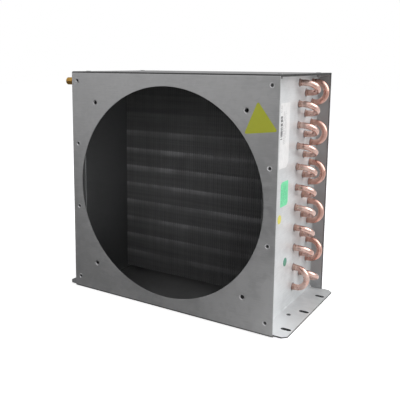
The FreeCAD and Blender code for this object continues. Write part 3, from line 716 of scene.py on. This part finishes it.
BLIND_RIVET = np.array([
    (-5.1, 0), (-5.1, 1.2), (-4.9, 1.7), (-4.4, 2.3), (-3.6, 2.45), (-2.9, 2.2), (-2.7, 1.95),
    (0, 1.95), (0, 3.05), (0.15, 3.12), (0.40, 3.07), (0.55, 2.9), (0.58, 2.75), (0.48, 2.5),
    (0.05, 1.95), (-0.45, 1.5), (-0.75, 1.15), (-1.6, 1.1), (-1.7, 0)]) * MM
SMALL_RIVET = np.array([
    (-2.7, 0), (-2.7, 1.6), (0, 1.6), (0, 2.55), (0.12, 2.6), (0.4, 2.3), (0.65, 1.5), (0.7, 1.0),
    (0.55, 0.9), (-0.6, 0.85), (-0.7, 0)]) * MM
RIVET_LINE, ROOF_RIVET = middle("right_roof_rivets")[X], 60 * MM
RIVET_HEIGHTS = {"left": (15.1, 110.3, 192.4, 272.5), "right": (15.0, 101.5, 185.9, 272.7)}
BASE_RIVET_LINE, BASE_RIVET_ROW = 135.2 * MM, middle("base_rivets")[Y]
for side, hand in ((-1, "left"), (1, "right")):
    new_piece(hand + "_panel_blind_rivets", [
        turned((side * RIVET_LINE, FRONT, height * MM), -Y_AXIS, BLIND_RIVET)
        for height in RIVET_HEIGHTS[hand]], rivet_steel, (hand + "_panel_rivets",))
    new_piece(hand + "_roof_blind_rivets", [
        turned((side * RIVET_LINE, y, HEIGHT), Z_AXIS, BLIND_RIVET)
        for y in (-ROOF_RIVET, ROOF_RIVET)], rivet_steel, (hand + "_roof_rivets",))
new_piece("base_blind_rivets", [
    turned((side * BASE_RIVET_LINE, BASE_RIVET_ROW, FOOT_TOP), Z_AXIS, SMALL_RIVET)
    for side in (-1, 1)], dark_rivet, ("base_rivets",))

# Brass unions, seals and caps

FLATS, NUT_SIDES = 9.35, 96
UNION_LENGTH = 8 * MM
THREAD_LENGTH, THREAD_PITCH, THREAD_BORE = 6 * MM, 1 * MM, 2.2 * MM
THREAD_RADIUS, THREAD_DEPTH, THREAD_FADE, BLANK_DEPTH = 3.58 * MM, 0.42 * MM, 0.5 * MM, 0.15 * MM


def nut_profile(rows):
    """Rows of (along, radius, width across flats or 0 where round), in millimetres."""
    rows = np.array(rows)
    return rows[:, :2] * MM, rows[:, 2] * MM


UNION = nut_profile([
    (5.0, 0, 0), (5.0, 4.02, 0), (0, 4.02, 0), (0, 4.5, 0), (0.35, 5.0, FLATS), (0.9, 5.5, FLATS),
    (1.1, 5.5, FLATS), (7.0, 5.5, FLATS), (7.2, 5.5, FLATS), (7.75, 5.0, FLATS), (8.0, 4.5, 0),
    (8.0, 3.3, 0)])
CAP = nut_profile([
    (7.2, 0, 0), (7.2, 3.72, 0), (0.3, 3.72, 0), (0, 4.0, 0), (0, 4.4, 0), (0.35, 5.0, FLATS),
    (0.8, 5.5, FLATS), (1.0, 5.5, FLATS), (7.5, 5.5, FLATS), (7.7, 5.45, FLATS),
    (8.6, 5.2, FLATS), (8.7, 5.15, FLATS), (9.5, 4.75, FLATS), (9.6, 4.68, FLATS),
    (10.15, 4.15, 0), (10.5, 3.4, 0), (10.45, 1.2, 0), (10.5, 0, 0)])
SEAL = np.array([(0, 0), (0, 3.2), (0.2, 3.5), (0.8, 3.5), (1.0, 3.2), (1.0, 0)]) * MM


def threaded_end(root):
    """A screw thread that runs left from its root: r(x, a) = r0 - depth times a triangle wave of
    x / pitch - a / 360 degrees, fading at both ends to a plain turned blank, with the way through
    it."""
    sides = 36
    x = np.linspace(0, THREAD_LENGTH, 61)
    angle = np.linspace(0, 2 * np.pi, sides, endpoint=False)
    phase = (x[:, None] / THREAD_PITCH - angle / (2 * np.pi)) % 1
    fade = np.clip(np.minimum(x, THREAD_LENGTH - x) / THREAD_FADE, 0, 1)[:, None]
    radius = THREAD_RADIUS - THREAD_DEPTH * np.abs(2 * phase - 1) * fade - BLANK_DEPTH * (1 - fade)
    bore = np.array([(THREAD_LENGTH, THREAD_BORE), (0, THREAD_BORE), (0, 0)])
    x = np.concatenate([x[:1], x, bore[:, 0]])
    radius = np.concatenate([np.zeros((1, sides)), radius, np.repeat(bore[:, 1:], sides, 1)])
    points = np.stack([np.repeat(-x[:, None], sides, 1), radius * np.cos(angle),
                       -radius * np.sin(angle)], -1) + root
    return points.reshape(-1, 3), grid_quads(len(x), sides)


for name in ("inlet", "outlet"):
    union, seal, cap = (name + part for part in ("_union", "_seal", "_cap"))
    new_piece(name + "_brass_union", [
        turned(right_end(union), -X_AXIS, UNION[0], NUT_SIDES, UNION[1]),
        threaded_end(right_end(union) - UNION_LENGTH * X_AXIS)], brass, (union,))
    new_piece(name + "_cap_seal", [turned(right_end(seal), -X_AXIS, SEAL, 32)], rubber,
              (seal,), seal + "_body")
    new_piece(name + "_brass_cap", [
        turned(right_end(cap), -X_AXIS, CAP[0], NUT_SIDES, CAP[1])], brass, (cap,),
        cap + "_body")

# Labels: generic dashes and bars on the two upright ones, and the others plain

LABEL_THICKNESS = 0.15 * MM
DOT_RADIUS = 5.2 * MM
STICKER_SIDE, STICKER_CORNER, STICKER_TILT = 38.6 * MM, 1.6 * MM, 6.9
STICKER_PLACE = (119.5 * MM, FRONT, 233.9 * MM)
white_film = printed_film("white_label_film", (0.76, 0.76, 0.76), (0.08, 0.08, 0.085), [
    (y * MM, 0.4 * MM, amount, low * MM, high * MM) for y, amount, low, high in (
        (-28.5, 0.7, 205, 242), (-26.2, 0.6, 208, 242), (-23.9, 0.6, 205, 240),
        (-21.6, 0.5, 212, 242), (-36.5, 0.7, 241, 249), (-34.3, 0.5, 241, 249))],
    (-37.2 * MM, -31.4 * MM, 211 * MM, 237 * MM))
green_film = printed_film("green_label_film", (0.14, 0.70, 0.35), (0.02, 0.20, 0.10), [
    (y * MM, 0.5 * MM, amount, low * MM, high * MM) for y, amount, low, high in (
        (-28.0, 0.8, 136, 158), (-25.0, 0.6, 134, 152), (-22.0, 0.8, 138, 159),
        (-19.0, 0.6, 134, 156), (-16.0, 0.7, 140, 158), (-13.0, 0.6, 135, 150))])
yellow_film = printed_film("yellow_dot_film", (0.66, 0.61, 0.08), (0.42, 0.36, 0.03))
dark_green_film = printed_film("green_dot_film", (0.05, 0.25, 0.165), (0.03, 0.15, 0.10))
sticker_film = printed_film("triangle_film", (0.50, 0.525, 0.030), (0.36, 0.38, 0.022))


def label(name, node, outline, material, place=None, across=Y_AXIS):
    """A film in a given place, or on the right tube sheet in the middle of its node."""
    if place is None:
        place = (WEB_OUT, *middle(node)[1:])
    new_piece(name, [film(np.array(place), across, Z_AXIS, outline, LABEL_THICKNESS)], material,
              (node,))


def cut_label(corners, radii):
    """A label's outline, from its corners and their radii in millimetres."""
    return rounded_polygon(np.array(corners) * MM, np.array(radii) * MM)


label("white_blank_label", "white_label",
      cut_label([(-14, -37), (8, -37), (14, -31), (14, 37), (-14, 37)], [1, 1, 1, 1.5, 3]),
      white_film)
label("green_blank_label", "green_label",
      cut_label([(-11, -14.5), (8, -14.5), (11, -11.5), (11, 14.5), (-8, 14.5), (-11, 11.5)],
                [1, 1, 1, 1, 1, 1]),
      green_film)
turn = np.linspace(0, 2 * np.pi, 48, endpoint=False)
dot = np.stack([np.cos(turn), np.sin(turn)], 1) * DOT_RADIUS
label("yellow_round_label", "yellow_dot", dot, yellow_film)
label("green_round_label", "green_dot", dot, dark_green_film)
tips = np.radians(90 + 120 * np.arange(3) + STICKER_TILT)
triangle = np.stack([np.cos(tips), np.sin(tips)], 1) * STICKER_SIDE / np.sqrt(3)
label("triangular_sticker", "triangle_sticker",
      rounded_polygon(triangle, np.full(3, STICKER_CORNER)), sticker_film,
      STICKER_PLACE, X_AXIS)


# Studio

def stage_plane(name, corners, material):
    mesh = bpy.data.meshes.new(name)
    mesh.from_pydata(corners, [], [(0, 1, 2, 3)])
    mesh.materials.append(material)
    plane = linked(name, mesh)
    return plane


def studio_world(fill):
    """Dim light on the part, and plain white for the camera, for reflections and through glass."""
    world = bpy.data.worlds.new("studio")
    bpy.context.scene.world = world
    world.use_nodes = True
    nodes, links = world.node_tree.nodes, world.node_tree.links
    nodes.clear()
    rays = nodes.new("ShaderNodeLightPath")
    sees_white = rays.outputs["Is Camera Ray"]
    for name in ("Is Glossy Ray", "Is Transmission Ray"):
        larger = nodes.new("ShaderNodeMath")
        larger.operation = "MAXIMUM"
        links.new(sees_white, larger.inputs[0])
        links.new(rays.outputs[name], larger.inputs[1])
        sees_white = larger.outputs[0]
    mix = nodes.new("ShaderNodeMixShader")
    links.new(sees_white, mix.inputs[0])
    for socket, level in ((1, fill), (2, 1)):
        light = nodes.new("ShaderNodeBackground")
        light.inputs["Color"].default_value = (level, level, level, 1)
        links.new(light.outputs[0], mix.inputs[socket])
    links.new(mix.outputs[0], nodes.new("ShaderNodeOutputWorld").inputs[0])


def floor_paper():
    """Paper that is white to the camera, with a painted shadow in the part's own footprint. In
    reflections it glows with painted light instead: bright behind the part and beside it, and dim
    in front."""
    n = Nodes("white_floor")
    x, y, _ = n.coordinates()
    # Painted shadow: in the part's own footprint the floor is near black and does not glow
    clear_of = [n.ramp(n.math("ABSOLUTE", place), edge - 2 * MM, edge + MM)
                for place, edge in ((x, 153 * MM), (y, 68 * MM))]
    clear = n.math("MAXIMUM", *clear_of)
    rays = n.add("ShaderNodeLightPath").outputs
    paper = n.add("ShaderNodeBsdfDiffuse", {
        "Color": n.mix(clear, (0.02, 0.02, 0.02), (0.85, 0.85, 0.85))})
    glow = n.add("ShaderNodeEmission", {
        "Strength": n.times(rays["Is Camera Ray"], n.times(clear, 0.72))})
    # Painted light seen only in reflections: bright behind and beside the part, dim in front
    ahead = n.ramp(x, -0.05, 0.22, 0.10, 0.66)
    beside = n.times(n.ramp(x, 0.14, 0.16, 0.0, 1.1), n.ramp(x, 0.18, 0.30, 1.0, 0.6))
    behind = n.ramp(y, -0.12, 0.10, 0.15, 1.0)
    mirrored = n.add("ShaderNodeEmission", {
        "Strength": n.chain("MAXIMUM", ahead, beside, behind)})
    both = n.add("ShaderNodeAddShader", {0: paper.outputs[0], 1: glow.outputs[0]})
    return n.surface(n.add("ShaderNodeMixShader", {
        0: rays["Is Glossy Ray"], 1: both.outputs[0], 2: mirrored.outputs[0]}))


def front_glow():
    """Light of the card in front, strongest just left of its middle and weaker higher up."""
    n = Nodes("front_glow_card")
    x, _, z = n.coordinates()
    strength = n.times(n.ramp(x, -1.5, -1.0, 0.50, 1.15), n.ramp(x, -0.95, -0.4, 1.0, 0.31),
                       n.ramp(z, 0.2, 0.9, 1.0, 0.75))
    return n.surface(n.add("ShaderNodeEmission", {"Strength": strength}))


def back_glow():
    """Light of the cards behind, which grows towards the right."""
    n = Nodes("back_card")
    x, _, _ = n.coordinates()
    return n.surface(n.add("ShaderNodeEmission", {
        "Strength": n.ramp(x, -1.8, 2.5, 0.27, 0.75)}))


def mirrored_card(name, one, other, top, material):
    """An upright glowing card from one place on the floor to another, which shows only in
    reflections as a painted reflection.
    """
    card = stage_plane(name, [(*one, 0.0), (*other, 0.0), (*other, top), (*one, top)], material)
    for ray in ("camera", "diffuse", "transmission", "shadow", "volume_scatter"):
        setattr(card, "visible_" + ray, False)


def looking_along(forward, right):
    """A turn whose own -Z points forward and whose own X points right."""
    return Matrix(np.column_stack([right, np.cross(right, forward), -forward]).tolist()).to_4x4()


def area_lamp(name, place, aim, width, height, power):
    lamp = bpy.data.lights.new(name, "AREA")
    lamp.shape = "RECTANGLE"
    lamp.size, lamp.size_y, lamp.energy = width, height, power
    forward = np.subtract(aim, place)
    forward /= np.linalg.norm(forward)
    right = np.cross(forward, Z_AXIS if abs(forward[Z]) < 0.99 else Y_AXIS)
    right /= np.linalg.norm(right)
    linked(name, lamp).matrix_world = Matrix.Translation(place) @ looking_along(forward, right)


studio_world(0.36)
FLOOR_REACH, FLOOR_LEVEL = 6, -0.2 * MM
stage_plane("floor", [(x * FLOOR_REACH, y * FLOOR_REACH, FLOOR_LEVEL)
                      for x, y in ((-1, -1), (1, -1), (1, 1), (-1, 1))], floor_paper())
mirrored_card("front_glow_card", (-2.6, -0.6), (0.9, -2.6), 2.0, front_glow())
glow_behind = back_glow()
mirrored_card("left_back_card", (-3.5, 1.5), (0.6, 2.6), 2.2, glow_behind)
mirrored_card("right_back_card", (0.6, 2.6), (3.6, 1.2), 2.2, glow_behind)
area_lamp("right_lamp", (1.5, 0.5, 1.15), (0.12, 0, 0.15), 1.6, 1.5, 27)
area_lamp("top_lamp", (0.3, 0.3, 2.0), (0, 0, 0.15), 2.0, 2.0, 7)
area_lamp("front_lamp", (-0.6, -1.6, 1.0), (0, 0, 0.15), 1.0, 1.0, 2.5)

# Camera, as fitted to the photograph: pixels of its frame, then turns in radians

FRAME_PIXELS, FOCAL_PIXELS, SENSOR = 400.0, 588.0, 36.0
PRINCIPAL_ACROSS, PRINCIPAL_DOWN = 171.9, 153.4
YAW, PITCH, ROLL = -0.5712, -0.1514, 0.0050
CAMERA_PLACE = (373.34 * MM, -646.41 * MM, 294.06 * MM)
forward = np.array([np.sin(YAW) * np.cos(PITCH), np.cos(YAW) * np.cos(PITCH), np.sin(PITCH)])
level = np.array([np.cos(YAW), -np.sin(YAW), 0])
right = level * np.cos(ROLL) + np.cross(level, forward) * np.sin(ROLL)
lens = bpy.data.cameras.new("camera")
lens.sensor_width = SENSOR
lens.lens = FOCAL_PIXELS * SENSOR / FRAME_PIXELS
lens.shift_x = (FRAME_PIXELS / 2 - PRINCIPAL_ACROSS) / FRAME_PIXELS
lens.shift_y = (PRINCIPAL_DOWN - FRAME_PIXELS / 2) / FRAME_PIXELS
camera = linked("camera", lens)
camera.matrix_world = Matrix.Translation(CAMERA_PLACE) @ looking_along(forward, right)
bpy.context.scene.camera = camera
bpy.context.scene.view_settings.view_transform = "Standard"

bpy.context.view_layer.update()
